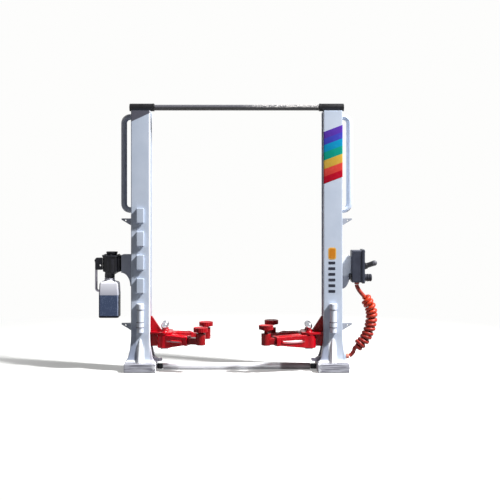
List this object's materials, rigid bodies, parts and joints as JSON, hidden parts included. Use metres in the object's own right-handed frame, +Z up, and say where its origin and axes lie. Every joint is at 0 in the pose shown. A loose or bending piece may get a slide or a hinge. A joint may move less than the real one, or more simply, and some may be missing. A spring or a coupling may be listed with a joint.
{
  "type": "scale model of a two post car lift",
  "caption": "Display model of a car lift: posts joined by a top beam and floor bar, with carriages that climb them and swinging, extending arms.",
  "frame": {"origin": "on the floor, midway between the posts and between front and back", "axes": "+Z up, +X towards the control box side, -Y the front with the ribs and raised blocks"},
  "size_m": [0.2523, 0.0534, 0.2371],
  "materials": {
    "post_paint": "pale blue-grey paint, satin",
    "base_grey": "grey, streaked and dirty",
    "arm_red": "glossy red",
    "moulded_black": "black, finely speckled",
    "floor_bar_grey": "pale grey, satin",
    "tank_paint": "pale above, speckled slate blue below",
    "bright_steel": "bright turned steel",
    "box_slate": "dark slate, satin",
    "dark_rubber": "dark, ribbed",
    "orange_hose": "orange-red",
    "pale_ferrule": "pale"
  },
  "bodies": {
    "frame": {"left_base": "base_grey", "right_base": "base_grey", "left_post": "post_paint", "right_post": "post_paint", "left_relief_cylinder": "post_paint", "right_relief_cylinder": "post_paint", "left_handle": "post_paint", "right_handle": "post_paint", "top_beam": "moulded_black", "left_beam_cap": "moulded_black", "right_beam_cap": "moulded_black", "floor_bar": "floor_bar_grey", "left_bar_coupler": "moulded_black", "right_bar_coupler": "moulded_black", "power_bracket": "post_paint", "pump_motor": "moulded_black", "motor_switch": "moulded_black", "oil_tank": "tank_paint", "tank_wire_handle": "bright_steel", "box_bracket": "post_paint", "control_box": "box_slate", "box_knob": "moulded_black", "control_lever": "moulded_black", "box_socket": "dark_rubber", "hose_relief": "orange_hose", "hose_upper_lead": "orange_hose", "hose_coil": "orange_hose", "hose_lower_lead": "orange_hose", "hose_ferrule": "pale_ferrule"},
    "left_lift_carriage": {"left_carriage": "arm_red", "left_front_pin": "bright_steel", "left_rear_pin": "bright_steel"},
    "right_lift_carriage": {"right_carriage": "arm_red", "right_front_pin": "bright_steel", "right_rear_pin": "bright_steel"},
    "left_front_sleeve": {"left_front_arm": "arm_red"},
    "left_front_slide": {"left_front_inner_arm": "arm_red"},
    "left_front_pad_screw": {"left_front_pad": "arm_red"},
    "left_rear_sleeve": {"left_rear_arm": "arm_red"},
    "left_rear_slide": {"left_rear_inner_arm": "arm_red"},
    "left_rear_pad_screw": {"left_rear_pad": "arm_red"},
    "right_front_sleeve": {"right_front_arm": "arm_red"},
    "right_front_slide": {"right_front_inner_arm": "arm_red"},
    "right_front_pad_screw": {"right_front_pad": "arm_red"},
    "right_rear_sleeve": {"right_rear_arm": "arm_red"},
    "right_rear_slide": {"right_rear_inner_arm": "arm_red"},
    "right_rear_pad_screw": {"right_rear_pad": "arm_red"}
  },
  "joints": [
    {"name": "left_lift", "type": "slide", "parent": "frame", "child": "left_lift_carriage", "axis": [0, 0, 1], "range_m": [0, 0.165]},
    {"name": "right_lift", "type": "slide", "parent": "frame", "child": "right_lift_carriage", "axis": [0, 0, 1], "range_m": [0, 0.165]},
    {"name": "left_front_swing", "type": "hinge", "parent": "left_lift_carriage", "child": "left_front_sleeve", "pos_m": [-0.0638, -0.0073, 0.0266], "axis": [0, 0, -1], "range_deg": [-18, 50]},
    {"name": "left_front_extend", "type": "slide", "parent": "left_front_sleeve", "child": "left_front_slide", "axis": [0.9397, -0.342, 0], "range_m": [-0.002, 0.008]},
    {"name": "left_front_pad_raise", "type": "slide", "parent": "left_front_slide", "child": "left_front_pad_screw", "axis": [0, 0, 1], "range_m": [0, 0.004]},
    {"name": "left_rear_swing", "type": "hinge", "parent": "left_lift_carriage", "child": "left_rear_sleeve", "pos_m": [-0.0638, 0.0073, 0.0266], "axis": [0, 0, 1], "range_deg": [-18, 50]},
    {"name": "left_rear_extend", "type": "slide", "parent": "left_rear_sleeve", "child": "left_rear_slide", "axis": [0.9397, 0.342, 0], "range_m": [-0.002, 0.008]},
    {"name": "left_rear_pad_raise", "type": "slide", "parent": "left_rear_slide", "child": "left_rear_pad_screw", "axis": [0, 0, 1], "range_m": [0, 0.004]},
    {"name": "right_front_swing", "type": "hinge", "parent": "right_lift_carriage", "child": "right_front_sleeve", "pos_m": [0.0638, -0.0073, 0.0266], "axis": [0, 0, 1], "range_deg": [-18, 50]},
    {"name": "right_front_extend", "type": "slide", "parent": "right_front_sleeve", "child": "right_front_slide", "axis": [-0.9455, -0.3256, 0], "range_m": [-0.002, 0.008]},
    {"name": "right_front_pad_raise", "type": "slide", "parent": "right_front_slide", "child": "right_front_pad_screw", "axis": [0, 0, 1], "range_m": [-0.0022, 0.004]},
    {"name": "right_rear_swing", "type": "hinge", "parent": "right_lift_carriage", "child": "right_rear_sleeve", "pos_m": [0.0638, 0.0073, 0.0266], "axis": [0, 0, -1], "range_deg": [-18, 50]},
    {"name": "right_rear_extend", "type": "slide", "parent": "right_rear_sleeve", "child": "right_rear_slide", "axis": [-0.9397, 0.342, 0], "range_m": [-0.002, 0.008]},
    {"name": "right_rear_pad_raise", "type": "slide", "parent": "right_rear_slide", "child": "right_rear_pad_screw", "axis": [0, 0, 1], "range_m": [-0.0018, 0.004]}
  ],
  "couplings": [
    {"joint": "right_lift", "follows": "left_lift", "ratio": 1}
  ]
}
